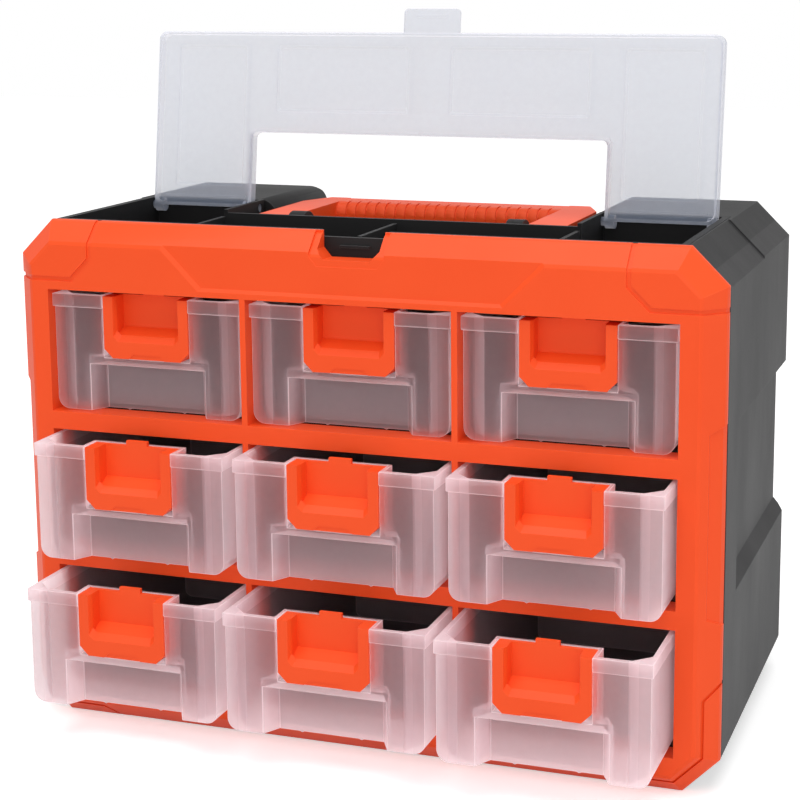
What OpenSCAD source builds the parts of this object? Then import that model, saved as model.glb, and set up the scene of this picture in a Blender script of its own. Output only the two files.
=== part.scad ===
// Small parts cabinet: nine clear drawers in a bevelled frame, under a lidded tray and a folding handle.
// X is right, Y is back and Z is up, with the origin at the middle of the base.

/* [Drawer grid] */
// Width of one drawer window
window_w = 96; // [80:0.5:120]
// Height of one drawer window
window_h = 57; // [50:0.5:80]
// Width of the upright bars between the columns
bar_w = 2.7; // [2.5:0.1:6]
// Height of the cross bars between the rows
bar_h = 8.4; // [7:0.1:14]
// Height of the sill under the lowest windows
sill_h = 18.5; // [14:0.1:24]
// Height of the fascia over the top windows
fascia_h = 31; // [29:0.5:45]
// Width of the frame beside the windows
side_border = 18.3; // [17:0.1:26]

/* [Front frame] */
// Depth of the frame from front to back
frame_d = 12; // [11:0.5:18]
// Leg of the bevel round the frame's front edge
frame_bevel = 9.5; // [6:0.5:10]
// Leg of the four chamfered corners
corner_chamfer = 16; // [14:0.5:20]
// Depth of the lines and pockets sunk into the frame's face
mark_depth = 0.8; // [0.4:0.1:1.2]
// Width of the line that borders each upper corner
corner_line_w = 2.2; // [1:0.1:4]
// Height of the lower end of the shallow waist on each side
waist_z0 = 76; // [60:0.2:90]
// Height of the waist
waist_h = 87.8; // [60:0.2:100]
// Height of the pads at the lower corners
pad_h = 50; // [30:1:60]
// Drop of the finger notch under the latch tab
notch_drop = 11.7; // [10:0.1:14]
// Width of the finger notch
notch_w = 29; // [27:0.5:40]

/* [Shell] */
// Wall of the shell
shell_wall = 2.5; // [2:0.1:4]
// Thickness of the deck under the tray
deck_t = 3; // [2:0.1:5]
// Free space behind the shut drawers
rear_gap = 15.5; // [6:0.5:40]
// Depth of the band sunk into each side
recess_depth = 5; // [2:0.5:8]
// Height of the band's lower edge
recess_z0 = 82; // [60:1:90]
// Height of the band
recess_h = 77; // [60:1:100]
// Distance of the band behind the frame's front
recess_y = 40; // [30:1:60]
// Bevel round the shell's back edge
back_bevel = 2.5; // [1:0.5:5]

/* [Drawers] */
// Length of a drawer
drawer_l = 152; // [130:1:190]
// Gap between a drawer's rim and its window on each side
drawer_gap = 1; // [0.6:0.1:2]
// Gap between a drawer's rim and the top of its window
drawer_headroom = 2.1; // [2:0.1:4]
// Wall of a drawer
drawer_wall = 1.6; // [1.2:0.1:2.5]
// Height of the thick band round a drawer's rim
rim_h = 6; // [4:0.5:9]
// How far the rim band stands out of the walls
rim_proud = 0.8; // [0.4:0.1:1.5]
// Radius of a drawer's lower edges
drawer_round = 5.5; // [3:0.5:8]
// Depth of a shut drawer's front behind the frame's face
drawer_setback = 2; // [1:0.5:5]
// How far the middle row stands open
middle_open = 21; // [0:1:60]
// How far the left, middle and right drawers of the lowest row stand open
low_open = [32, 34.5, 38];

/* [Pulls] */
// Width of the pocket that holds a pull
pocket_w = 43; // [36:0.5:60]
// Height of the pocket from its floor to the rim
pocket_h = 28.8; // [24:0.2:34]
// Depth of the pocket
pocket_d = 11.5; // [9:0.5:16]
// Width of the label recess at the front
label_w = 58; // [52:0.5:74]
// Depth of the label recess
label_d = 8; // [5:0.5:10]
// Width of each cheek of a pull
cheek_w = 5.6; // [3:0.1:8]
// Depth of the finger scoop below the pull's top
scoop_h = 18.4; // [14:0.2:21]
// Rise of the scoop's floor from the lip to the back
scoop_rise = 3.2; // [0:0.2:6]
// Height of the catch tongue over the rim
tongue_h = 1.8; // [0.5:0.1:1.9]

/* [Top tray] */
// Inside length of the tray's front bins
bin_l = 50.4; // [40:0.2:65]
// Length of the side pockets behind the front bins
pocket_reach = 39.9; // [34:0.1:60]
// Wall of the tray
tray_wall = 2; // [1.5:0.1:3]
// Thickness of the tray's floor
tray_floor = 2; // [1.5:0.1:3]
// Thickness of the tray's outer side walls
tray_side = 3; // [2.5:0.1:5]

/* [Lid] */
// Thickness of the lid's plate
lid_t = 1.6; // [1.2:0.1:1.8]
// Depth of the lip round the lid
lid_lip = 4.6; // [2:0.1:5]
// Radius of the lid's hinge pins
lid_pin_r = 2; // [1.5:0.1:2.2]
// Length of the latch tab beyond the lid's edge
tab_l = 12; // [10:0.5:13]
// Width of the latch tab
tab_w = 28.4; // [20:0.2:28.4]
// Angle between the shut lid and the lid as it stands open
lid_open = 98; // [90:1:98]

/* [Carry handle] */
// Clear length of the grip between the arms
grip_l = 117; // [100:1:130]
// Width of each arm
arm_w = 18.5; // [12:0.5:22]
// Depth of the grip bar
grip_d = 21; // [16:0.5:24]
// Thickness of the handle
handle_t = 15; // [12:0.5:17]
// Length from the pivot to the grip's back edge
handle_l = 76; // [65:1:85]
// Number of finger grooves on the grip
groove_count = 21; // [9:1:25]
// Radius of the handle's pivot pins
pivot_r = 3; // [2:0.1:4]

/* [Fits] */
// Gap under a drawer
slide_gap = 0.3; // [0.2:0.05:0.5]
// Gap between pieces that are fixed together
fit_gap = 0.2; // [0.1:0.05:0.3]
// Radial clearance of a pin in its bore
pin_clearance = 0.05; // [0.02:0.01:0.09]

/* [Hidden] */
$fn = 48;
// Size of a cut that reaches past the whole part, and how far a short cut runs past a face
BIG = 600;
PAST = 1;
// How far a raised form is sunk into the surface that carries it
SINK = 0.1;
ORANGE = [0.93, 0.27, 0.12];
BLACK = [0.10, 0.10, 0.11];
CLEAR = [0.88, 0.84, 0.86, 0.45];

ROWS = ["top", "middle", "low"];
COLUMNS = ["left", "centre", "right"];
SIDES = [-1, 1];
function drawer_name(r, c) = str("drawer_", ROWS[r], "_", COLUMNS[c]);
function pull_name(r, c) = str("pull_", ROWS[r], "_", COLUMNS[c]);
function shelf_name(r) = str("shelf_", ROWS[r]);
function upright_name(s) = s < 0 ? "upright_left" : "upright_right";

// Overall sizes and the grid of windows
col_pitch = window_w + bar_w;
row_pitch = window_h + bar_h;
cabinet_w = 3 * window_w + 2 * bar_w + 2 * side_border;
cabinet_h = sill_h + 3 * window_h + 2 * bar_h + fascia_h;
cabinet_d = drawer_setback + drawer_l + rear_gap + shell_wall;
half_w = cabinet_w / 2;
function col_x(c) = (c - 1) * col_pitch;
function row_z(r) = sill_h + (2 - r) * row_pitch;

// Levels inside the shell
shelf_t = 2.5;
shelf_lift = 0.6;
function shelf_top(r) = row_z(r) + shelf_lift;
shelf_play = 0.5;
shelf_half = half_w - recess_depth - shell_wall - shelf_play;
inner_y0 = frame_d + shelf_play;
inner_y1 = cabinet_d - shell_wall - shelf_play;
ledge_w = 6;
ledge_h = 3;
ledge_y = inner_y0 + 4;
deck_lift = 2;
deck_z = row_z(0) + window_h + deck_lift;
deck_top = deck_z + deck_t;
seam = 0.8;
spigot_step = 1.5;
recess_slope = 6;

// Drawers
drawer_lift = shelf_lift + slide_gap;
drawer_h = window_h - drawer_headroom - drawer_lift;
drawer_w = window_w - 2 * drawer_gap;
tub_w = drawer_w - 2 * rim_proud;
pocket_z = drawer_h - pocket_h;
plate_t = 3.4;
label_slant = 4.5;
corner_fill = 7;
nib_x = 14;
nib_w = 2.4;
nib_h = 0.6;
nib_l = 1.2;
function opened(r, c) = r == 0 ? 0 : r == 1 ? middle_open : low_open[c];

// Tray, lid and handle, measured from the frame's face
tray_y0 = frame_d + fit_gap;
bin_y0 = tray_y0 + tray_wall;
bin_y1 = bin_y0 + bin_l;
pocket_y1 = bin_y1 + pocket_reach;
tray_y1 = pocket_y1 + tray_wall;
rail_w = 1.8;
rail_end = 9;
tray_half = half_w - corner_chamfer - rail_w - fit_gap;
handle_half = grip_l / 2 + arm_w;
handle_side_gap = 2.5;
recess_half = handle_half + handle_side_gap;
block_round = 9;
pocket_side_gap = 9;
inner_wall_x = handle_half + pocket_side_gap;
pocket_x0 = inner_wall_x + tray_wall;
pocket_x1 = tray_half - tray_side;

lid_drop = 1;
lid_top = cabinet_h - lid_drop;
lid_under = lid_top - lid_t;
lip_under = lid_under - lid_lip;
lip_w = 1.4;
lid_gap = 0.3;
lid_front = bin_y0 + lid_gap;
lid_side_gap = 1.5;
lid_half = pocket_x1 - lid_side_gap;
leg_gap = 2;
cut_half = pocket_x0 + leg_gap;
cut_gap = 1;
cut_y = bin_y1 - cut_gap;
panel_raise = 0.9;
panel_wall = 2.2;
panel_slope_w = 1.2;
panel_border = 8.5;
bar_border = 9.5;
panel_front = 5.3;
panel_back = 9.4;
hinge_inset = 3.5;
hinge_y = pocket_y1 - hinge_inset;
hinge_cover = 1.2;
knuckle_r = lid_pin_r + hinge_cover;
hinge_drop = 0.4;
knuckle_w = 4.5;
hinge_z = cabinet_h - knuckle_r - hinge_drop;
bin_wall_drop = 0.6;
bin_wall_top = lid_top - bin_wall_drop;
divider_gap = 0.4;
divider_top = lid_under - divider_gap;
low_wall_top = lip_under - lid_gap;

ear_w = 8;
ear_gap = 0.5;
ear_wall = 7;
ear_r = pivot_r + ear_wall;
ear_tray_gap = 0.4;
pivot_y = bin_y1 + tray_wall + ear_r + ear_tray_gap;
pivot_drop = 11;
pivot_z = cabinet_h - pivot_drop;
ear_x1 = grip_l / 2 - ear_gap;
ear_x0 = ear_x1 - ear_w;

// Places that are measured from the frame's face are shifted so that the origin is under the middle
module from_front() { translate([0, -cabinet_d / 2, 0]) children(); }

module along_y(y0, y1) { translate([0, y1, 0]) rotate([90, 0, 0]) linear_extrude(y1 - y0) children(); }

module pin_along_x(x0, x1, r) { translate([x0, 0, 0]) rotate([0, 90, 0]) cylinder(h = x1 - x0, r = r); }

// The cabinet's outline seen from the front, drawn in by an inset
function octagon(i) =
    let (w = half_w - i, t = cabinet_h - i, c = corner_chamfer - i * (2 - sqrt(2)))
    [[-w + c, i], [w - c, i], [w, i + c], [w, t - c], [w - c, t], [-w + c, t], [-w, t - c], [-w, i + c]];

// Distance from the middle of the outline to the edge that faces the angle a
function edge_reach(a) =
    a % 180 == 0 ? half_w :
    a % 90 == 0 ? cabinet_h / 2 :
    (half_w + cabinet_h / 2 - corner_chamfer) / sqrt(2);

// What a sloping plane takes off the edge that faces the angle a. The plane lies a depth under a point
// that is given by its distances in from the edge and back from the face, and tilts from the edge's side.
module edge_cut(a, inward, back, tilt, depth = 0) {
    translate([0, 0, cabinet_h / 2]) rotate([0, -a, 0])
        translate([edge_reach(a) - inward, back, 0]) rotate([0, 0, -tilt])
            translate([-depth, -BIG / 2, -BIG / 2]) cube(BIG);
}

// The frame's block with a bevel round its face, and a narrow facet that softens each edge of the bevel.
// With an inset the face and the slopes lie deeper, and with a rim inset the outer sides do too.
module bevelled_block(inset = 0, rim_inset = 0) {
    difference() {
        along_y(inset, frame_d) polygon(octagon(rim_inset));
        for (a = [0:45:315]) {
            edge_cut(a, 0, frame_bevel, 45, inset);
            edge_cut(a, frame_bevel, 0, 67.5, frame_soft + inset);
            edge_cut(a, 0, frame_bevel, 22.5, frame_soft + inset);
        }
    }
}

// A straight line of a given width with round ends
module stroke(a, b, w) {
    d = b - a;
    translate(a) rotate(atan2(d[1], d[0])) translate([0, -w / 2]) square([norm(d), w]);
    translate(a) circle(d = w);
    translate(b) circle(d = w);
}

module rounded_rect(x0, y0, x1, y1, r) {
    translate([x0 + r, y0]) square([x1 - x0 - 2 * r, y1 - y0]);
    translate([x0, y0 + r]) square([x1 - x0, y1 - y0 - 2 * r]);
    for (x = [x0 + r, x1 - r]) for (y = [y0 + r, y1 - r]) translate([x, y]) circle(r);
}

// Front frame

corner_patch = [40, 26];
corner_line_x = half_w - corner_patch[0];
corner_line_z = cabinet_h - corner_patch[1];
corner_line_leg = 9.5;
frame_soft = 0.35;
waist_in = 6;
waist_slope = 4;
pad_w = 47;
pad_in = 6;
pad_line_w = 1.2;
pad_foot = 4;
panel_foot = 27;
panel_half = 69.5;
panel_depth = 1;
panel_slope = 1.4;
notch_corner = [3.5, 4.2];
notch_flare = 3;
notch_flare_depth = 1.2;
notch_flare_end = 1;

module corner_line() {
    top = [corner_line_x, cabinet_h + PAST];
    bend = [corner_line_x, corner_line_z + corner_line_leg];
    foot = [corner_line_x + corner_line_leg, corner_line_z];
    end = [half_w + PAST, corner_line_z];
    stroke(top, bend, corner_line_w);
    stroke(bend, foot, corner_line_w);
    stroke(foot, end, corner_line_w);
}

module waist() {
    z0 = waist_z0;
    z1 = waist_z0 + waist_h;
    polygon([[half_w - waist_in, z0 + waist_slope], [half_w + PAST, z0],
             [half_w + PAST, z1], [half_w - waist_in, z1 - waist_slope]]);
}

// One edge of the line that borders the pad at a lower corner, at a steady distance from the outline
function pad_edge(w) =
    let (i = pad_in + w, corner = octagon(i), lift = w * sqrt(2), foot = half_w - pad_w + pad_foot)
    [[half_w + PAST, pad_h + PAST + lift], [half_w - i, pad_h - i + lift], corner[2], corner[1],
     [foot + i - lift, i], [foot - PAST - lift, -PAST]];

module pad_line() {
    near = pad_edge(0);
    far = pad_edge(pad_line_w);
    polygon(concat(near, [for (k = [len(far) - 1:-1:0]) far[k]]));
}

// Lines and pockets of one depth, whichever way the surface faces
module frame_marks() {
    difference() {
        along_y(-PAST, frame_d + PAST) for (s = [0, 1]) mirror([s, 0]) {
            corner_line();
            waist();
            pad_line();
        }
        bevelled_block(mark_depth);
    }
}

module fascia_panel_outline(grow) {
    z0 = cabinet_h - panel_foot - grow;
    rise = panel_foot;
    polygon([[-panel_half - grow, z0], [panel_half + grow, z0],
             [panel_half + grow + rise, z0 + rise], [-panel_half - grow - rise, z0 + rise]]);
}

module fascia_panel() {
    hull() {
        along_y(-PAST, 0) fascia_panel_outline(panel_slope);
        along_y(-PAST, panel_depth) fascia_panel_outline(0);
    }
}

module notch_outline(grow) {
    foot = cabinet_h - notch_drop - grow;
    half = notch_w / 2 + grow;
    cut = notch_corner[0];
    rise = notch_corner[1];
    polygon([[-half + cut, foot], [half - cut, foot], [half, foot + rise], [half, cabinet_h + PAST],
             [-half, cabinet_h + PAST], [-half, foot + rise]]);
}

module latch_notch() {
    along_y(-PAST, frame_d + PAST) notch_outline(0);
    difference() {
        along_y(-PAST, frame_d - notch_flare_end) notch_outline(notch_flare);
        bevelled_block(notch_flare_depth, notch_flare_depth);
    }
}

module front_frame() {
    color(ORANGE) from_front() difference() {
        bevelled_block();
        frame_marks();
        fascia_panel();
        latch_notch();
        for (r = [0:2]) for (c = [0:2])
            translate([col_x(c) - window_w / 2, -PAST, row_z(r)])
                cube([window_w, frame_d + 2 * PAST, window_h]);
        translate([pad_w - half_w, -PAST, -PAST])
            cube([2 * (half_w - pad_w), frame_d + 2 * PAST, PAST + mark_depth]);
    }
}

// Body shell

module side_recess(grow) {
    d = recess_depth + grow;
    z0 = recess_z0 - grow;
    z1 = recess_z0 + recess_h + grow;
    along_y(recess_y - grow, cabinet_d + PAST) for (s = [0, 1]) mirror([s, 0])
        polygon([[half_w + PAST, z0 - PAST], [half_w + PAST, z1 + PAST],
                 [half_w - d, z1 - recess_slope], [half_w - d, z0 + recess_slope]]);
}

module shell_outside() {
    difference() {
        union() {
            along_y(frame_d + seam, cabinet_d) polygon(octagon(0));
            along_y(frame_d, frame_d + seam) polygon(octagon(spigot_step));
        }
        translate([0, cabinet_d, 0]) for (s = [0, 1]) mirror([s, 0, 0]) mirror([0, 1, 0])
            for (a = [-90:45:90]) edge_cut(a, 0, back_bevel, 45);
        side_recess(0);
    }
}

module shelf_ledges() {
    for (r = [0:2]) for (s = [0, 1]) mirror([s, 0, 0])
        translate([shelf_half - ledge_w, ledge_y, shelf_top(r) - shelf_t - ledge_h])
            cube([half_w - shelf_half + ledge_w, cabinet_d - ledge_y, ledge_h]);
}

// Hollowing the shell leaves the ledges standing on its walls
module shell_cavity() {
    difference() {
        along_y(frame_d - PAST, cabinet_d - shell_wall) intersection() {
            polygon(octagon(shell_wall));
            translate([-half_w, 0]) square([cabinet_w, deck_z]);
        }
        side_recess(shell_wall);
        shelf_ledges();
    }
}

module tray_space() {
    translate([-tray_half - fit_gap, frame_d - PAST, deck_top])
        cube([2 * (tray_half + fit_gap), tray_y1 + fit_gap - frame_d + PAST, BIG]);
}

// The handle lies between two blocks whose upper inner edges are round
module handle_recess() {
    y0 = tray_y1;
    round_z = cabinet_h - block_round;
    translate([-recess_half, y0, deck_top]) cube([2 * recess_half, BIG, BIG]);
    for (s = SIDES) difference() {
        translate([s * (recess_half + block_round / 2) - block_round / 2, y0, round_z])
            cube([block_round, BIG, BIG]);
        translate([s * (recess_half + block_round), 0, round_z])
            rotate([-90, 0, 0]) cylinder(h = BIG, r = block_round);
    }
}

// The blocks are hollow from below
module block_hollows() {
    x0 = recess_half + block_round;
    y0 = tray_y1 + fit_gap + shell_wall;
    for (s = [0, 1]) mirror([s, 0, 0]) along_y(y0, cabinet_d - shell_wall) intersection() {
        polygon(octagon(shell_wall));
        translate([x0, deck_z - PAST]) square([half_w, cabinet_h]);
    }
}

// The chamfer beside the tray lies a little lower than the chamfer of the blocks
module rail_chamfer() {
    for (s = [0, 1]) mirror([s, 0, 0]) translate([0, 0, cabinet_h / 2]) rotate([0, -45, 0])
        translate([edge_reach(45) - mark_depth, frame_d - PAST, -BIG / 2])
            cube([BIG, tray_y1 - rail_end - frame_d, BIG]);
}

module handle_ears() {
    for (s = SIDES) translate([s * (ear_x0 + ear_w / 2), pivot_y, 0]) difference() {
        union() {
            translate([-ear_w / 2, 0, pivot_z]) pin_along_x(0, ear_w, ear_r);
            translate([-ear_w / 2, -ear_r, deck_top - SINK])
                cube([ear_w, 2 * ear_r, pivot_z - deck_top + SINK]);
        }
        translate([-ear_w / 2, 0, pivot_z]) pin_along_x(-PAST, ear_w + PAST, pivot_r + pin_clearance);
    }
}

module body_shell() {
    color(BLACK) from_front() {
        difference() {
            shell_outside();
            shell_cavity();
            tray_space();
            handle_recess();
            block_hollows();
            rail_chamfer();
        }
        handle_ears();
    }
}

// Shelves and uprights, halved into each other

upright_t = 2.2;
halving_y = (inner_y0 + inner_y1) / 2;
halving_gap = 0.15;
guide_h = 4;

module shelf(r) {
    color(BLACK) from_front() difference() {
        union() {
            translate([-shelf_half, inner_y0, shelf_top(r) - shelf_t])
                cube([2 * shelf_half, inner_y1 - inner_y0, shelf_t]);
            for (s = SIDES) translate([s * 1.5 * col_pitch - upright_t / 2, inner_y0, shelf_top(r) - SINK])
                cube([upright_t, inner_y1 - inner_y0, guide_h + SINK]);
        }
        if (r < 2) for (s = SIDES)
            translate([s * col_pitch / 2 - upright_t / 2 - halving_gap, halving_y, shelf_top(r) - BIG / 2])
                cube([upright_t + 2 * halving_gap, BIG, BIG]);
    }
}

module upright(s) {
    z0 = shelf_top(2);
    color(BLACK) from_front() difference() {
        translate([s * col_pitch / 2 - upright_t / 2, inner_y0, z0])
            cube([upright_t, inner_y1 - inner_y0, deck_z - z0]);
        for (r = [0, 1]) translate([s * col_pitch / 2 - BIG / 2, 0, shelf_top(r) - shelf_t - halving_gap])
            cube([BIG, halving_y + halving_gap, shelf_t + 2 * halving_gap]);
    }
}

// Drawers, drawn with the front face at y = 0 and the floor at z = 0

module tub_profile(w, h, r) {
    translate([-w / 2, r]) square([w, h - r]);
    translate([-w / 2 + r, 0]) square([w - 2 * r, h]);
    for (s = SIDES) translate([s * (w / 2 - r), r]) circle(r);
}

module tub_outside() {
    along_y(rim_proud, drawer_l - rim_proud) tub_profile(tub_w, drawer_h, drawer_round);
    translate([-drawer_w / 2, 0, drawer_h - rim_h]) cube([drawer_w, drawer_l, rim_h]);
}

module tub_inside() {
    w = tub_w - 2 * drawer_wall;
    y0 = rim_proud + drawer_wall;
    y1 = drawer_l - rim_proud - drawer_wall;
    corner = w / 2 - corner_fill;
    intersection() {
        translate([0, 0, drawer_wall]) along_y(y0, y1) tub_profile(w, drawer_h, drawer_round - drawer_wall);
        linear_extrude(BIG) polygon([[-corner, y0], [corner, y0], [w / 2, y0 + corner_fill], [w / 2, y1],
                                     [-w / 2, y1], [-w / 2, y0 + corner_fill]]);
    }
}

module label_plan(grow) {
    front = label_w / 2 + grow;
    back = label_w / 2 - label_slant + grow;
    polygon([[-front, -PAST], [front, -PAST], [front, rim_proud], [back, rim_proud + label_d + grow],
             [-back, rim_proud + label_d + grow], [-front, rim_proud]]);
}

module drawer_tub() {
    difference() {
        union() {
            difference() {
                tub_outside();
                tub_inside();
            }
            intersection() {
                tub_outside();
                union() {
                    translate([-pocket_w / 2 - drawer_wall, 0, pocket_z - plate_t])
                        cube([pocket_w + 2 * drawer_wall, pocket_d + drawer_wall, BIG]);
                    linear_extrude(pocket_z) label_plan(drawer_wall);
                }
            }
        }
        translate([-pocket_w / 2, -PAST, pocket_z]) cube([pocket_w, pocket_d + PAST, BIG]);
        translate([0, 0, -PAST]) linear_extrude(pocket_z - plate_t + PAST) label_plan(0);
    }
}

// Two nibs under the floor's front edge hold the drawer's front off the sill
module drawer_nibs() {
    y = rim_proud + label_d;
    for (s = SIDES) translate([s * nib_x, y, 0]) rotate([-90, 0, 0]) linear_extrude(nib_l)
        polygon([[-nib_w / 2, -SINK], [nib_w / 2, -SINK], [0, nib_h]]);
}

module at_drawer(r, c) {
    from_front() translate([col_x(c), drawer_setback - opened(r, c), row_z(r) + drawer_lift]) children();
}

module drawer(r, c) {
    color(CLEAR) at_drawer(r, c) {
        drawer_tub();
        drawer_nibs();
    }
}

// Pulls, seated on the pocket's floor and against its back wall

pull_gap = 0.3;
pull_w = pocket_w - 2 * pull_gap;
pull_front = 0.4;
pull_back = 2;
pull_sink = 0.4;
pull_top = drawer_h - pull_sink;
pull_chamfer = 4.2;
scoop_z = drawer_h - scoop_h;
scoop_bevel = 2.6;
scoop_side_bevel = 0.8;
scoop_corner = 2.2;
foot_mark_w = 18;
foot_mark_h = 2.2;
foot_mark_depth = 0.5;
tongue_w = 10.4;
tongue_root = 2;

module pull_front_outline() {
    h = pull_w / 2;
    polygon([[-h + pull_chamfer, pocket_z], [h - pull_chamfer, pocket_z], [h, pocket_z + pull_chamfer],
             [h, pull_top], [-h, pull_top], [-h, pocket_z + pull_chamfer]]);
}

// The scoop's mouth, with its lower corners cut, grown by a share of the bevel
module scoop_mouth(grown) {
    h = pull_w / 2 - cheek_w + grown * scoop_side_bevel;
    z0 = scoop_z - grown * scoop_bevel;
    z1 = drawer_h + PAST;
    c = scoop_corner;
    polygon([[-h + c, z0], [h - c, z0], [h, z0 + c], [h, z1], [-h, z1], [-h, z0 + c]]);
}

// A bevel runs along the lip, and behind it the floor rises to the back
module pull_scoop() {
    inside = pull_w / 2 - cheek_w;
    y0 = pull_front + scoop_bevel;
    y1 = pocket_d - pull_back;
    hull() {
        along_y(pull_front - PAST, pull_front) scoop_mouth(1);
        along_y(y0, y0 + SINK) scoop_mouth(0);
    }
    translate([-inside, 0, 0]) rotate([90, 0, 90]) linear_extrude(2 * inside)
        polygon([[y0, drawer_h + PAST], [y0, scoop_z], [y1, scoop_z + scoop_rise], [y1, drawer_h + PAST]]);
}

// A shallow mark at the foot of the pull's face
module pull_foot_mark() {
    h = foot_mark_w / 2;
    along_y(pull_front - PAST, pull_front + foot_mark_depth)
        polygon([[-h, pocket_z - PAST], [h, pocket_z - PAST], [h, pocket_z],
                 [h - foot_mark_h, pocket_z + foot_mark_h], [foot_mark_h - h, pocket_z + foot_mark_h],
                 [-h, pocket_z]]);
}

module pull_body() {
    difference() {
        along_y(pull_front, pocket_d) pull_front_outline();
        pull_scoop();
        pull_foot_mark();
    }
    translate([-tongue_w / 2, pocket_d - pull_back, pull_top - tongue_root])
        cube([tongue_w, pull_back, tongue_root + pull_sink + tongue_h]);
}

module pull(r, c) { color(ORANGE) at_drawer(r, c) pull_body(); }

// Top tray

catch_w = 14;
catch_t = 1.2;
catch_reach = 1;
catch_lift = 4;
divider_step = 3;

module tray_plan() {
    translate([-tray_half, tray_y0]) square([2 * tray_half, bin_y1 + tray_wall - tray_y0]);
    for (s = SIDES) translate([s * (inner_wall_x + tray_half) / 2 - (tray_half - inner_wall_x) / 2, tray_y0])
        square([tray_half - inner_wall_x, tray_y1 - tray_y0]);
}

module tray_bins() {
    half_wall = tray_wall / 2;
    z = deck_top + tray_floor;
    for (s = [0, 1]) mirror([s, 0, 0]) {
        translate([half_wall, bin_y0, z]) cube([inner_wall_x - half_wall, bin_l, BIG]);
        translate([pocket_x0, bin_y0, z]) cube([pocket_x1 - pocket_x0, pocket_y1 - bin_y0, BIG]);
    }
}

// The front wall leaves room for the latch tab, and the dividers for the shut lid and its lip
module tray_lid_room() {
    translate([-tab_w / 2 - lid_side_gap, tray_y0 - PAST, divider_top])
        cube([tab_w + 2 * lid_side_gap, tray_wall + PAST + SINK, BIG]);
    translate([-inner_wall_x, bin_y1 - SINK, bin_wall_top])
        cube([2 * inner_wall_x, tray_wall + 2 * SINK, BIG]);
    for (x = [-inner_wall_x - tray_wall / 2, 0, inner_wall_x + tray_wall / 2]) translate([x, 0, 0]) {
        translate([-tray_wall, bin_y0 - SINK, divider_top]) cube([2 * tray_wall, bin_l + SINK, BIG]);
        for (y = [bin_y0 - SINK, bin_y1 - divider_step]) translate([-tray_wall, y, low_wall_top])
            cube([2 * tray_wall, divider_step, BIG]);
    }
}

module tray_hinge_bores() {
    translate([0, hinge_y, hinge_z])
        pin_along_x(-tray_half - PAST, tray_half + PAST, lid_pin_r + pin_clearance);
}

module latch_catch() {
    z = cabinet_h - notch_drop + catch_lift;
    translate([-catch_w / 2, tray_y0 - catch_reach, z]) cube([catch_w, catch_reach + SINK, catch_t]);
}

module top_tray() {
    color(BLACK) from_front() {
        difference() {
            translate([0, 0, deck_top]) linear_extrude(cabinet_h - deck_top) tray_plan();
            tray_bins();
            tray_lid_room();
            tray_hinge_bores();
        }
        latch_catch();
    }
}

// Lid, drawn shut and then turned open about its pins

lid_round = 4;
cut_round = 3;
tab_round = 2.2;
panel_round = 1.5;
tab_bar = [15, 1.2, 0.8];
leg_rib = 0.9;
leg_rib_y = 5.5;
tab_bar_y = lid_front - tab_l + 3;

module lid_plan(inset) {
    difference() {
        rounded_rect(-lid_half + inset, lid_front + inset, lid_half - inset, hinge_y - inset, lid_round);
        translate([0, cut_y - inset])
            rounded_rect(-cut_half - inset, 0, cut_half + inset, hinge_y, cut_round);
    }
}

// Four panels stand up from the plate: one on each leg and two on the bar
panel_y0 = lid_front + panel_front;
BAR_PANEL = [bar_border, panel_y0, cut_half - bar_border, cut_y - panel_back];
LEG_PANEL = [cut_half + panel_front, panel_y0, lid_half - panel_border, hinge_y - panel_back];

module panel_outline(p, inset) {
    rounded_rect(p[0] + inset, p[1] + inset, p[2] - inset, p[3] - inset, panel_round, $fn = 32);
}

// From below each panel is a hollow with sloping sides
module panel_hollow(p) {
    hull() {
        translate([0, 0, lid_under - SINK]) linear_extrude(SINK) panel_outline(p, panel_wall - panel_slope_w);
        translate([0, 0, lid_under]) linear_extrude(panel_raise) panel_outline(p, panel_wall);
    }
}

module lid_shut() {
    difference() {
        union() {
            translate([0, 0, lid_under]) linear_extrude(lid_t) {
                lid_plan(0);
                rounded_rect(-tab_w / 2, lid_front - tab_l, tab_w / 2, lid_front + 2 * tab_round, tab_round);
            }
            translate([0, 0, lip_under]) linear_extrude(lid_lip + SINK) difference() {
                lid_plan(0);
                lid_plan(lip_w);
            }
            for (s = [0, 1]) mirror([s, 0, 0]) for (p = [BAR_PANEL, LEG_PANEL])
                translate([0, 0, lid_top - SINK]) linear_extrude(panel_raise + SINK) panel_outline(p, 0);
        }
        for (s = [0, 1]) mirror([s, 0, 0]) for (p = [BAR_PANEL, LEG_PANEL]) panel_hollow(p);
    }
    translate([-tab_bar[0] / 2, tab_bar_y, lid_under - tab_bar[2]]) cube(tab_bar + [0, 0, SINK]);
    for (s = [0, 1]) mirror([s, 0, 0]) {
        translate([0, hinge_y, hinge_z]) {
            pin_along_x(cut_half, cut_half + knuckle_w, knuckle_r);
            pin_along_x(lid_half - knuckle_w, lid_half, knuckle_r);
            pin_along_x(inner_wall_x + lid_gap, cut_half + SINK, lid_pin_r);
            pin_along_x(lid_half - SINK, tray_half - lid_gap, lid_pin_r);
        }
        translate([cut_half + knuckle_w, hinge_y - leg_rib_y, lid_under - leg_rib])
            cube([lid_half - cut_half - 2 * knuckle_w, leg_rib, leg_rib + SINK]);
    }
}

module lid() {
    color(CLEAR) from_front()
        translate([0, hinge_y, hinge_z]) rotate([-lid_open, 0, 0]) translate([0, -hinge_y, -hinge_z])
            lid_shut();
}

// Carry handle, folded flat

handle_corner = [8, 19];
handle_edge = 2;
finger_round = 6;
groove_w = 0.9;
groove_depth = 0.6;
groove_reach = 8.5;
groove_margin = 3;

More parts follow.
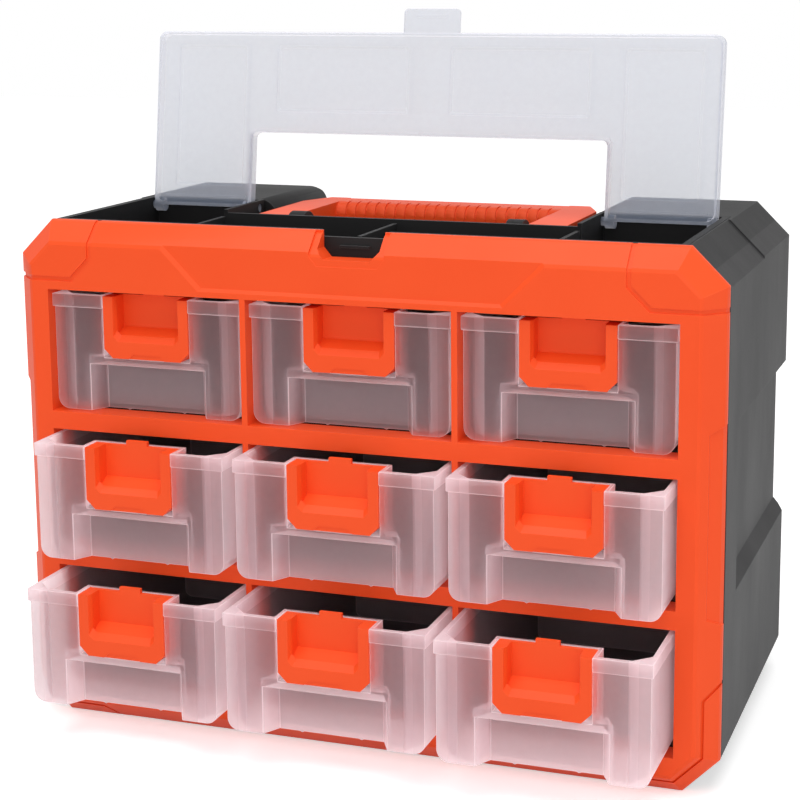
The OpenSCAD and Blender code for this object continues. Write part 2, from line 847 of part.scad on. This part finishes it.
module handle_plan() {
    y1 = pivot_y + handle_l;
    difference() {
        polygon([[-handle_half, pivot_y], [handle_half, pivot_y], [handle_half, y1 - handle_corner[1]],
                 [handle_half - handle_corner[0], y1], [-handle_half + handle_corner[0], y1],
                 [-handle_half, y1 - handle_corner[1]]]);
        translate([-grip_l / 2, pivot_y - PAST]) square([grip_l, handle_l - grip_d + PAST]);
    }
}

// Section of the grip with its long edges bevelled, and the upper edge on the fingers' side round
module grip_section(inset) {
    y0 = handle_l - grip_d + inset;
    y1 = handle_l - inset;
    t = handle_t / 2 - inset;
    e = handle_edge;
    r = finger_round - inset;
    polygon([[y0 + e, -t], [y1 - e, -t], [y1, -t + e], [y1, t - e], [y1 - e, t],
             [y0 + r, t], [y0 + r, t - r], [y0, t - r], [y0, -t + e]]);
    translate([y0 + r, t - r]) circle(r);
}

// What is left of a cut when the grip's section is kept, along the grip from x0 to x1
module outside_grip(x0, x1, y1, inset) {
    translate([x0, pivot_y, pivot_z]) rotate([90, 0, 90]) linear_extrude(x1 - x0) difference() {
        translate([handle_l - grip_d - PAST, -handle_t])
            square([y1 - handle_l + grip_d + PAST, 2 * handle_t]);
        grip_section(inset);
    }
}

// Grooves cross the round edge and the front of the grip and leave its back smooth
module grip_grooves() {
    pitch = (grip_l - 2 * groove_margin) / groove_count;
    for (i = [0:groove_count - 1]) {
        x = (i - (groove_count - 1) / 2) * pitch;
        outside_grip(x - groove_w / 2, x + groove_w / 2, handle_l - grip_d + groove_reach, groove_depth);
    }
}

module carry_handle() {
    color(ORANGE) from_front() {
        difference() {
            union() {
                translate([0, 0, pivot_z - handle_t / 2]) linear_extrude(handle_t) handle_plan();
                for (s = SIDES) translate([s * (grip_l + arm_w) / 2 - arm_w / 2, pivot_y, pivot_z])
                    pin_along_x(0, arm_w, handle_t / 2);
            }
            outside_grip(-grip_l / 2, grip_l / 2, handle_l + PAST, 0);
            grip_grooves();
        }
        for (s = [0, 1]) mirror([s, 0, 0]) translate([0, pivot_y, pivot_z])
            pin_along_x(ear_x0 + ear_gap, grip_l / 2 + SINK, pivot_r);
    }
}

front_frame();
body_shell();
top_tray();
lid();
carry_handle();
for (r = [0:2]) shelf(r);
for (s = SIDES) upright(s);
for (r = [0:2]) for (c = [0:2]) drawer(r, c);
for (r = [0:2]) for (c = [0:2]) pull(r, c);
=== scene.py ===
# %% [markdown]
# # Dressing a small parts cabinet
#
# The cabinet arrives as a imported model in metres, with every drawer, pull, shelf and lid as its own
# object that already rides on the right body. Nothing here moves or resizes those objects. The lesson
# gives them soft moulded edges, four plastics with real surface detail, a plain studio and a camera
# that stands where the photograph was taken.

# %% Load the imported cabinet
import math

import bpy
from mathutils import Color, Matrix, Vector


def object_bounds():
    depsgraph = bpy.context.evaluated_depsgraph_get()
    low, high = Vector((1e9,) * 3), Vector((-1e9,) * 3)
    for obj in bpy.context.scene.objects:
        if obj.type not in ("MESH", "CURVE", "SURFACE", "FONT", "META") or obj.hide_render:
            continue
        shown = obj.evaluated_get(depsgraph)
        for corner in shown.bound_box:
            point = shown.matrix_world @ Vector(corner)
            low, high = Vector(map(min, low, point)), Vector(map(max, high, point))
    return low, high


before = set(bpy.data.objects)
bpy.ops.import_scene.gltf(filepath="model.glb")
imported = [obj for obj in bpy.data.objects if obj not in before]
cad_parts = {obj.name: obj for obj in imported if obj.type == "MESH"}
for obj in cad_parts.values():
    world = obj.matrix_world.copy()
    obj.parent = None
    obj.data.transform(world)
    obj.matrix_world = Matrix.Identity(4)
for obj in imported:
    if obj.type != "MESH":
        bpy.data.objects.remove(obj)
cad_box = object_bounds()
scene = bpy.context.scene
scene.view_settings.view_transform = "Standard"
MM = 0.001

# %% [markdown]
# ## Where the camera stands
#
# The photograph looks down a little and from the right, from under a metre away. A camera can be aimed
# with a Track To constraint, but here its place in metres and its angles in degrees were measured from
# the straight edges of the frame and the drawers, so a rotation matrix built from those angles repeats
# them exactly. The focal length was found in pixels of the square picture, and so was the point that the
# lens looked at: the picture was straightened after it was taken, which a small lens shift imitates.

# %% Camera
CAMERA_PLACE = Vector((0.2975, -0.8149, 0.3464))
CAMERA_YAW = 18.57
CAMERA_PITCH = -9.95
CAMERA_ROLL = -0.24
PICTURE = 800
FOCAL_PIXELS = 1847
CENTRE_PIXEL = (461, 300)
SENSOR_MM = 36


def camera_turn(yaw, pitch, roll):
    """Rotation of a camera that looks along +Y, turned left by yaw, up by pitch and round by roll."""
    level = Matrix.Rotation(math.radians(90 + pitch), 4, "X")
    tilt = Matrix.Rotation(math.radians(roll), 4, "Z")
    return Matrix.Rotation(math.radians(yaw), 4, "Z") @ level @ tilt


lens = bpy.data.cameras.new("camera")
lens.sensor_width = SENSOR_MM
lens.lens = FOCAL_PIXELS / PICTURE * SENSOR_MM
lens.shift_x = (PICTURE / 2 - CENTRE_PIXEL[0]) / PICTURE
lens.shift_y = (CENTRE_PIXEL[1] - PICTURE / 2) / PICTURE
camera = bpy.data.objects.new("camera", lens)
camera.matrix_world = Matrix.Translation(CAMERA_PLACE) @ camera_turn(CAMERA_YAW, CAMERA_PITCH, CAMERA_ROLL)
scene.collection.objects.link(camera)
scene.camera = camera
print(f"camera: {lens.lens:.1f} mm lens, shift {lens.shift_x:.3f}, {lens.shift_y:.3f}")

# %% [markdown]
# ## Sums with sockets
#
# A shader is a chain of small sums, and a chain of nodes written out one by one hides what it works out.
# So one small class wraps a socket and lets Python's own operators add the Math nodes: `1 - mask` or
# `grain * 0.3 + 0.4` read as they would on paper. Every other node comes from the class's one method,
# which takes the node's type, then its settings, then what goes into its sockets.

# %% A socket that can be used in sums


class Wire:
    """An output socket of a shader node, for use in sums."""

    def __init__(self, socket):
        self.socket = socket
        self.tree = socket.id_data

    @classmethod
    def node(cls, tree, kind, settings, sockets, output=0):
        """Add a node of a kind to a tree, with its settings first and then its sockets. Gives one output."""
        made = tree.nodes.new("ShaderNode" + kind)
        for name, value in settings.items():
            setattr(made, name, value)
        for name, value in sockets.items():
            plug(made.inputs[name], value)
        return cls(made.outputs[output])

    def sum(self, operation, first, second):
        """A Math node on two values."""
        return Wire.node(self.tree, "Math", {"operation": operation}, {0: first, 1: second})

    def __add__(self, other):
        return self.sum("ADD", self, other)

    def __radd__(self, other):
        return self.sum("ADD", other, self)

    def __sub__(self, other):
        return self.sum("SUBTRACT", self, other)

    def __rsub__(self, other):
        return self.sum("SUBTRACT", other, self)

    def __mul__(self, other):
        return self.sum("MULTIPLY", self, other)

    def __rmul__(self, other):
        return self.sum("MULTIPLY", other, self)

    def __or__(self, other):
        return self.sum("MAXIMUM", self, other)

    def __ror__(self, other):
        return self.sum("MAXIMUM", other, self)

    def __gt__(self, other):
        return self.sum("GREATER_THAN", self, other)

    def __lt__(self, other):
        return self.sum("LESS_THAN", self, other)


def plug(socket, value):
    """Put a number, a colour or another socket into a socket."""
    if isinstance(value, Wire):
        socket.id_data.links.new(value.socket, socket)
    else:
        socket.default_value = value


print("sums with sockets ready")

# %% [markdown]
# ## Short words for common nodes
#
# Every finish below needs the same few nodes: a mix of two colours, a noise, a bump. Each gets a function
# with a plain name, so that a finish reads like a recipe. Colours are written as the 0 to 255 values that
# a screen shows, and Blender's own Color turns them into the linear light that a shader works with.
# Patterns are placed in the cabinet's own frame, in metres, so no piece has to be unwrapped and a grain
# has its real size.

# %% Shader helpers
SCREEN_WHITE = 255
MIX_SHARE = 0
MIX_FIRST_COLOUR = 6
MIX_SECOND_COLOUR = 7
MIXED_COLOUR = 2


def linear(red, green, blue):
    """A colour given as 0 to 255 screen values, as the shader's linear values."""
    screen = Color((red / SCREEN_WHITE, green / SCREEN_WHITE, blue / SCREEN_WHITE))
    return (*screen.from_srgb_to_scene_linear(), 1.0)


def new_material(name):
    """An empty material with a Principled shader, as (material, tree, shader)."""
    material = bpy.data.materials.new(name)
    material.use_nodes = True
    tree = material.node_tree
    return material, tree, tree.nodes["Principled BSDF"]


def blend(tree, share, first, second):
    """Two colours mixed by a share. A Mix node also has sockets for numbers, so these go by their place."""
    sockets = {MIX_SHARE: share, MIX_FIRST_COLOUR: first, MIX_SECOND_COLOUR: second}
    return Wire.node(tree, "Mix", {"data_type": "RGBA"}, sockets, output=MIXED_COLOUR)


def noise(tree, where, scale, detail, roughness=0.5):
    """A soft noise from 0 to 1, with scale in features per metre."""
    sockets = {"Vector": where, "Scale": scale, "Detail": detail, "Roughness": roughness}
    return Wire.node(tree, "TexNoise", {}, sockets)


def object_place(tree):
    """The place of a point in the cabinet's own frame, in metres."""
    return Wire.node(tree, "TexCoord", {}, {}, output="Object")


def along(tree, vector, axis):
    """One of a vector's three numbers, by its axis."""
    return Wire.node(tree, "SeparateXYZ", {}, {"Vector": vector}, output=axis)


def stretched(tree, where, stretch):
    """A place with its axes scaled, so that a pattern is drawn out."""
    return Wire.node(tree, "VectorMath", {"operation": "MULTIPLY"}, {0: where, 1: stretch})


def bump(tree, height, strength, depth):
    """A normal tilted by a height, with the height's real depth in metres."""
    return Wire.node(tree, "Bump", {}, {"Strength": strength, "Distance": depth, "Height": height})


print("shader helpers ready")

# %% [markdown]
# ## Orange frame, handle and pulls
#
# The frame, the carry handle and the finger pulls are moulded in one orange plastic. It is satin: a fine
# even grain from the tool's spark finish breaks up the gloss, and the colour clouds a little where the
# melt flowed. A flat colour would look like paint, so two noises of very different size do those jobs.
# Edges are painted a little paler, a painted highlight along each rolled edge, which is a second finish with
# the same nodes.

# %% Orange plastic
ORANGE = linear(240, 83, 34)
ORANGE_DEEP = linear(234, 75, 27)
# Paler orange for the rolled edges: a painted highlight.
ORANGE_EDGE_HIGHLIGHT = linear(250, 104, 58)
SPARK_PER_M = 2600
CLOUDS_PER_M = 22
SATIN_SMOOTHEST = 0.36
SATIN_CLOUDED = 0.10
SATIN_GRAINED = 0.10
SATIN_SHINE = 0.2


def orange_plastic(name, colour_low, colour_high):
    """Satin plastic, clouded between two colours, with a fine grain."""
    material, tree, shader = new_material(name)
    where = object_place(tree)
    clouds = noise(tree, where, CLOUDS_PER_M, detail=3)
    spark = noise(tree, where, SPARK_PER_M, detail=2, roughness=0.6)
    plug(shader.inputs["Base Color"], blend(tree, clouds, colour_low, colour_high))
    plug(shader.inputs["Roughness"], clouds * SATIN_CLOUDED + spark * SATIN_GRAINED + SATIN_SMOOTHEST)
    plug(shader.inputs["Normal"], bump(tree, spark, strength=0.12, depth=0.12 * MM))
    plug(shader.inputs["Specular IOR Level"], SATIN_SHINE)
    return material


orange = orange_plastic("orange_plastic", ORANGE, ORANGE_DEEP)
# The edge finish paints the rolled edges paler, as a painted highlight.
orange_edge_highlight = orange_plastic("orange_edge_highlight", ORANGE_EDGE_HIGHLIGHT, ORANGE)
print("orange plastic:", len(orange.node_tree.nodes), "nodes")

# %% [markdown]
# ## Dark shell, tray and shelves
#
# The shell is a near-black plastic with a dull grain. The tray looks almost black while the lit side looks a
# streaky mid grey. So the grain is in the bump, the streaks change both the colour and the roughness, and a
# mask made from the distance to the middle paints the outer sides paler than the rest, a painted sheen of the
# light that falls on them. Edges are painted paler too, as painted highlights, and those of the tray's thin
# walls are the palest, because they alone stand in the light above a black inside.

# %% Dark plastic
DARK = linear(11, 11, 12)
# The streaks' paler tone, which is also the low end of the painted edge highlight.
DARK_STREAK_AND_EDGE_HIGHLIGHT = linear(24, 23, 24)
# A paler grey for the outer sides, a painted sheen of the light on them.
DARK_SIDE_SHEEN = linear(44, 43, 44)
# Paler greys for the rolled edges: painted highlights, palest on the tray's thin walls.
DARK_EDGE_HIGHLIGHT = linear(52, 51, 52)
TRAY_EDGE_HIGHLIGHT = linear(96, 95, 96)
SIDE_START = 0.158
SIDE_SHEEN = 0.5
SIDE_SHEEN_STREAKED = 0.6
GRAIN_PER_M = 1500
STREAKS_PER_M = 16
STREAK_STRETCH = (1.0, 1.4, 0.45)
DULL_ROUGHEST = 0.66
DULL_STREAKED = 0.22
DULL_GRAINED = 0.08
DULL_SHINE = 0.22


def dark_plastic(name, colour_low, colour_high):
    """Dull grained plastic, streaked between two colours, with its outer sides painted paler as a painted
    sheen.
    """
    material, tree, shader = new_material(name)
    where = object_place(tree)
    streaks = noise(tree, stretched(tree, where, STREAK_STRETCH), STREAKS_PER_M, detail=5, roughness=0.6)
    grain = noise(tree, where, GRAIN_PER_M, detail=3, roughness=0.7)
    across = along(tree, where, "X")
    outer = across * across > SIDE_START ** 2
    plain = blend(tree, streaks, colour_low, colour_high)
    # Painted sheen: the outer sides are painted paler, streaked by the same noise.
    painted_side_sheen = outer * (streaks * SIDE_SHEEN_STREAKED + SIDE_SHEEN)
    plug(shader.inputs["Base Color"], blend(tree, painted_side_sheen, plain, DARK_SIDE_SHEEN))
    plug(shader.inputs["Roughness"], DULL_ROUGHEST - streaks * DULL_STREAKED + grain * DULL_GRAINED)
    plug(shader.inputs["Normal"], bump(tree, grain, strength=0.25, depth=0.15 * MM))
    plug(shader.inputs["Specular IOR Level"], DULL_SHINE)
    return material


dark = dark_plastic("dark_plastic", DARK, DARK_STREAK_AND_EDGE_HIGHLIGHT)
# Edge finishes: the rolled edges are painted paler, as painted highlights.
dark_edge_highlight = dark_plastic("dark_edge_highlight", DARK_STREAK_AND_EDGE_HIGHLIGHT, DARK_EDGE_HIGHLIGHT)
tray_edge_highlight = dark_plastic("tray_edge_highlight", DARK_EDGE_HIGHLIGHT, TRAY_EDGE_HIGHLIGHT)
print("dark plastic:", len(dark.node_tree.nodes), "nodes")

# %% [markdown]
# ## Where a drawer is thick or dull
#
# A drawer isn't equally milky all over. The band round its rim is thick, its front has a thick upright
# strip near each side, the back of the label recess is dull, and so, a little, is all that lies behind the
# front. An unwrapped map could mark these places. Here Generated coordinates do it, which run from 0 to 1
# along each side of the piece's own box, so that a few comparisons serve all nine drawers wherever they
# stand. The strips are found by their squared distance from the middle, which takes both sides at once,
# and the recess by faces that look to the front but lie a little behind it.

# %% Masks for a drawer's thick and dull places
MIDDLE = 0.5
RIM_START = 0.885
SKIN_END = 0.02
FRONT_END = 0.10
FACING = 0.7
STRIP_INNER = 0.39
STRIP_OUTER = 0.435
STRIP_FADE = 0.5


def box_share(tree, axis):
    """How far along its piece's own box a point lies on an axis, from 0 to 1."""
    return along(tree, Wire.node(tree, "TexCoord", {}, {}, output="Generated"), axis)


def corner_strips(tree):
    """1 on an upright strip near each side, and fainter from there to the side itself."""
    across = box_share(tree, "X") - MIDDLE
    squared = across * across
    return (squared > STRIP_INNER ** 2) - (squared > STRIP_OUTER ** 2) * STRIP_FADE


def faces_front(tree):
    """1 on faces that look to the front or to the back."""
    turned = along(tree, Wire.node(tree, "NewGeometry", {}, {}, output="Normal"), "Y")
    return turned * turned > FACING ** 2


print(f"rim band from {RIM_START:.3f} of a drawer's height, front up to {FRONT_END:.2f} of its depth")

# %% [markdown]
# ## Frosted drawers
#
# The drawers are natural polypropylene: milky, with light inside it. Real refraction would need very
# many samples to light what lies behind, so each wall is a mix of three plain shaders instead. One share
# lets sight straight through, one scatters light back like milk, and one lets light from behind glow
# through. That is why a drawer that stands open looks brighter than a shut one: light falls into it.
# How solid the mix is follows the masks above. Seen at a flat angle a wall is thicker as well, so a
# Fresnel node makes it more solid there. The rounded edges are the most solid of all, and are a second
# finish from the same function.

# %% Frosted plastic for drawers
# The pink tint of these milk colours is partly the plastic's own and partly a painted reflection of the
# orange frame.
FROST_PINK = linear(230, 210, 214)
PALE_FROST_PINK = linear(247, 235, 238)
FROST_PER_M = 260
FROST_ROUGH = 0.16
FROST_SOLID = 0.05
SLANT_IOR = 1.35
DULL_SCATTER = 1.6


def frosted(name, shades, roughness, wall, rim, slant, glow, dull=0.0, recess=0.0, strip=0.0):
    """Milky see-through plastic. Shades are two that cloud the milk, and one for light from behind.

    Wall and rim say how solid it is below and above the rim band's foot, slant how much more solid at a
    flat angle, and glow how much of the milk is lit from behind. Dull, recess and strip say how much more
    solid it is behind the front, at the back of the label recess and on the front's upright strips. The
    two dull places also send more light back and let less through.
    """
    material, tree, shader = new_material(name)
    where = object_place(tree)
    clouds = noise(tree, where, CLOUDS_PER_M, detail=3)
    frost = noise(tree, where, FROST_PER_M, detail=4, roughness=0.6)
    plug(shader.inputs["Base Color"], blend(tree, clouds, shades[0], shades[1]))
    plug(shader.inputs["Roughness"], frost * FROST_ROUGH + roughness)
    plug(shader.inputs["Normal"], bump(tree, frost, strength=0.05, depth=0.1 * MM))

    depth = box_share(tree, "Y")
    behind = depth > FRONT_END
    front = 1 - behind
    corners = corner_strips(tree) * front * strip
    label = (depth > SKIN_END) * front * faces_front(tree) * recess
    thick = (box_share(tree, "Z") > RIM_START) * (rim - wall) + wall
    flat_view = Wire.node(tree, "Fresnel", {}, {"IOR": SLANT_IOR})
    solid = thick + behind * dull + label + corners + frost * FROST_SOLID + flat_view * slant

    through = glow - behind * dull * DULL_SCATTER - label
    lit_through = Wire.node(tree, "BsdfTranslucent", {}, {"Color": shades[2]})
    milky = Wire.node(tree, "MixShader", {}, {0: through, 1: Wire(shader.outputs[0]), 2: lit_through})
    clear = Wire.node(tree, "BsdfTransparent", {}, {})
    surface = Wire.node(tree, "MixShader", {}, {0: solid, 1: clear, 2: milky})
    plug(tree.nodes["Material Output"].inputs["Surface"], surface)
    return material


drawer_wall = frosted("frosted_wall", (FROST_PINK, PALE_FROST_PINK, PALE_FROST_PINK), roughness=0.28, wall=0.42, rim=0.58,
                      slant=0.3, glow=0.88, dull=0.06, recess=0.13, strip=0.17)
drawer_edge = frosted("frosted_edge", (PALE_FROST_PINK, PALE_FROST_PINK, PALE_FROST_PINK), roughness=0.30, wall=0.74, rim=0.78,
                      slant=0.2, glow=0.55)
print("frosted plastic:", len(drawer_wall.node_tree.nodes), "nodes")

# %% [markdown]
# ## Frosted lid
#
# The lid is the same kind of plastic without the warm tint, and a little clearer. The light that it sends
# back is bluish and the light that comes through is neutral, so it is pale grey against the background and
# blue-grey where its legs stand before the dark tray. It is the same function with other values, and its
# wall and rim are alike because it has no thick band.

# %% Frosted plastic for the lid
PALE = linear(178, 200, 232)
PALE_HIGH = linear(192, 210, 236)
# Whiter colour for the lid's rolled edges: a painted highlight.
PALE_EDGE_HIGHLIGHT = linear(236, 239, 244)
PALE_THROUGH = linear(229, 226, 228)

lid_wall = frosted("lid_wall", (PALE, PALE_HIGH, PALE_THROUGH), roughness=0.24, wall=0.37, rim=0.37,
                   slant=0.4, glow=0.75)
# The lid's edges are more solid where the plastic is thicker, and are also painted whiter as a painted
# highlight.
lid_edge_highlight = frosted("lid_edge_highlight", (PALE_EDGE_HIGHLIGHT, PALE_EDGE_HIGHLIGHT, PALE_EDGE_HIGHLIGHT), roughness=0.26, wall=0.55, rim=0.55,
                   slant=0.3, glow=0.45)
print("lid plastic:", len(lid_wall.node_tree.nodes), "nodes")

# %% [markdown]
# ## Soft moulded edges
#
# No moulding has a razor edge: a small radius catches a line of light, and on frosted plastic it is the
# brightest place of all. The imported meshes are sharp triangles, so a stack of modifiers welds them, joins
# the flat triangles into whole faces and rolls the edges over. Hardened normals leave the faces beside a
# rolled edge shaded flat. The Bevel modifier can also give its new faces a finish of their own: on the
# orange, dark and lid pieces that finish is painted paler as a painted highlight, and on the drawers it is a
# more solid milk.

# %% Edge rounding
WELD = 0.01 * MM
FLAT_ANGLE = math.radians(1.0)
EDGE_ANGLE = math.radians(28)
EDGE_STEPS = 2
EDGE_SLOT = 1


def soften(name, radius, finish, edge_finish):
    """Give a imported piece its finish, and roll its edges over by a radius in metres in a second finish."""
    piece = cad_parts[name]
    piece.data.materials.clear()
    piece.data.materials.append(finish)
    piece.data.materials.append(edge_finish)
    weld = piece.modifiers.new("weld", "WELD")
    weld.merge_threshold = WELD
    flat = piece.modifiers.new("flat", "DECIMATE")
    flat.decimate_type = "DISSOLVE"
    flat.angle_limit = FLAT_ANGLE
    roll = piece.modifiers.new("roll", "BEVEL")
    roll.width = radius
    roll.segments = EDGE_STEPS
    roll.limit_method = "ANGLE"
    roll.angle_limit = EDGE_ANGLE
    roll.material = EDGE_SLOT
    roll.harden_normals = True


print(f"edges sharper than {math.degrees(EDGE_ANGLE):.0f} degrees will be rolled over")

# %% [markdown]
# ## A finish for every piece
#
# The radius follows the moulding: half a millimetre on the big frame, the shell and the chunky pulls, and
# less on thin walls and on the grip's grooves, which a larger one would eat. The pieces come in families,
# so their names choose the finish, and nine drawers take one line.

# %% Finish every piece
FRAME_EDGE = 0.5 * MM
SHELL_EDGE = 0.5 * MM
PULL_EDGE = 0.5 * MM
TRAY_ROLL = 0.45 * MM
DRAWER_EDGE = 0.35 * MM
HANDLE_EDGE = 0.3 * MM
INNER_EDGE = 0.3 * MM
LID_EDGE = 0.25 * MM

soften("front_frame", FRAME_EDGE, orange, orange_edge_highlight)
soften("carry_handle", HANDLE_EDGE, orange, orange_edge_highlight)
soften("body_shell", SHELL_EDGE, dark, dark_edge_highlight)
soften("top_tray", TRAY_ROLL, dark, tray_edge_highlight)
soften("lid", LID_EDGE, lid_wall, lid_edge_highlight)
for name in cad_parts:
    if name.startswith(("shelf_", "upright_")):
        soften(name, INNER_EDGE, dark, dark_edge_highlight)
    elif name.startswith("drawer_"):
        soften(name, DRAWER_EDGE, drawer_wall, drawer_edge)
    elif name.startswith("pull_"):
        soften(name, PULL_EDGE, orange, orange_edge_highlight)
finished = [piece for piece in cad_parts.values() if "roll" in piece.modifiers]
print("edges rolled on", len(finished), "of", len(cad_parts), "pieces")

# %% [markdown]
# ## White background
#
# The cabinet was photographed on plain white under big soft lights. A world that is white for every ray
# would also flood the cabinet with light. So it is white only for the rays that see it, from the camera,
# off gloss and through clear plastic, and gives a dimmer ambient light to everything else.

# %% World
WHITE = (1, 1, 1, 1)
AMBIENT = 0.37


def seen_ray(tree):
    """1 for rays that see the background: from the camera, off gloss or through clear plastic."""
    camera_ray = Wire.node(tree, "LightPath", {}, {}, output="Is Camera Ray")
    glossy_ray = Wire.node(tree, "LightPath", {}, {}, output="Is Glossy Ray")
    clear_ray = Wire.node(tree, "LightPath", {}, {}, output="Is Transmission Ray")
    return camera_ray | glossy_ray | clear_ray


world = bpy.data.worlds.new("studio")
world.use_nodes = True
scene.world = world
light = world.node_tree.nodes["Background"]
plug(light.inputs["Color"], WHITE)
plug(light.inputs["Strength"], seen_ray(world.node_tree) * (1 - AMBIENT) + AMBIENT)
print(f"world: white to look at, {AMBIENT:.2f} of that as light")

# %% [markdown]
# ## Pale floor
#
# The floor is a plain pale sheet, which isn't part of the cabinet. On its own it would end in a grey line
# against the white. So it glows for the same rays, and more so the further it lies from the cabinet: it melts
# into the background far away and keeps the soft shadow close by.

# %% Floor
FLOOR_HALF = 4.0
FLOOR_PALE = (0.86, 0.86, 0.86, 1)
FLOOR_ROUGH = 0.9
BLACK = (0, 0, 0, 1)
GLOW_NEAR = 0.50
GLOW_FAR = 0.62
NEAR = 0.25
FAR = 1.0


def pale_floor():
    """The floor's finish: a dull pale sheet that glows for the rays that see it."""
    material, tree, shader = new_material("pale_floor")
    plug(shader.inputs["Base Color"], FLOOR_PALE)
    plug(shader.inputs["Roughness"], FLOOR_ROUGH)
    distance = Wire.node(tree, "VectorMath", {"operation": "LENGTH"}, {0: object_place(tree)}, output="Value")
    reach = {"Value": distance, "From Min": NEAR, "From Max": FAR, "To Min": GLOW_NEAR, "To Max": GLOW_FAR}
    brightness = seen_ray(tree) * Wire.node(tree, "MapRange", {}, reach)
    glow = Wire.node(tree, "Emission", {}, {"Color": blend(tree, brightness, BLACK, WHITE)})
    both = Wire.node(tree, "AddShader", {}, {0: Wire(shader.outputs[0]), 1: glow})
    plug(tree.nodes["Material Output"].inputs["Surface"], both)
    return material


sheet = bpy.data.meshes.new("floor")
corners = [(-FLOOR_HALF, -FLOOR_HALF, 0), (FLOOR_HALF, -FLOOR_HALF, 0),
           (FLOOR_HALF, FLOOR_HALF, 0), (-FLOOR_HALF, FLOOR_HALF, 0)]
sheet.from_pydata(corners, [], [(0, 1, 2, 3)])
sheet.materials.append(pale_floor())
floor = bpy.data.objects.new("floor", sheet)
scene.collection.objects.link(floor)
print(f"floor: {2 * FLOOR_HALF:.0f} m square")

# %% [markdown]
# ## Soft lamps
#
# Small lamps would throw hard shadows, and the photograph has none. Three large area lamps light the
# cabinet at a plain level, at which a colour renders about as it is written: one overhead, a weaker one
# before the front, and one on the right that draws out the dark side.

# %% Lamps
middle = (cad_box[0] + cad_box[1]) / 2


def soft_lamp(name, place, width, height, watts):
    """A rectangular lamp at a place in metres, aimed at the middle of the cabinet."""
    data = bpy.data.lights.new(name, "AREA")
    data.shape = "RECTANGLE"
    data.size = width
    data.size_y = height
    data.energy = watts
    lamp = bpy.data.objects.new(name, data)
    lamp.location = place
    lamp.rotation_euler = (middle - Vector(place)).to_track_quat("-Z", "Y").to_euler()
    scene.collection.objects.link(lamp)


soft_lamp("top_softbox", place=(0.0, -0.6, 1.9), width=1.8, height=1.6, watts=30)
soft_lamp("front_softbox", place=(0.5, -1.9, 0.75), width=1.6, height=1.3, watts=9)
soft_lamp("side_softbox", place=(1.9, -0.3, 0.8), width=1.2, height=1.4, watts=6)
print("lamps:", [lamp.name for lamp in bpy.data.lights])
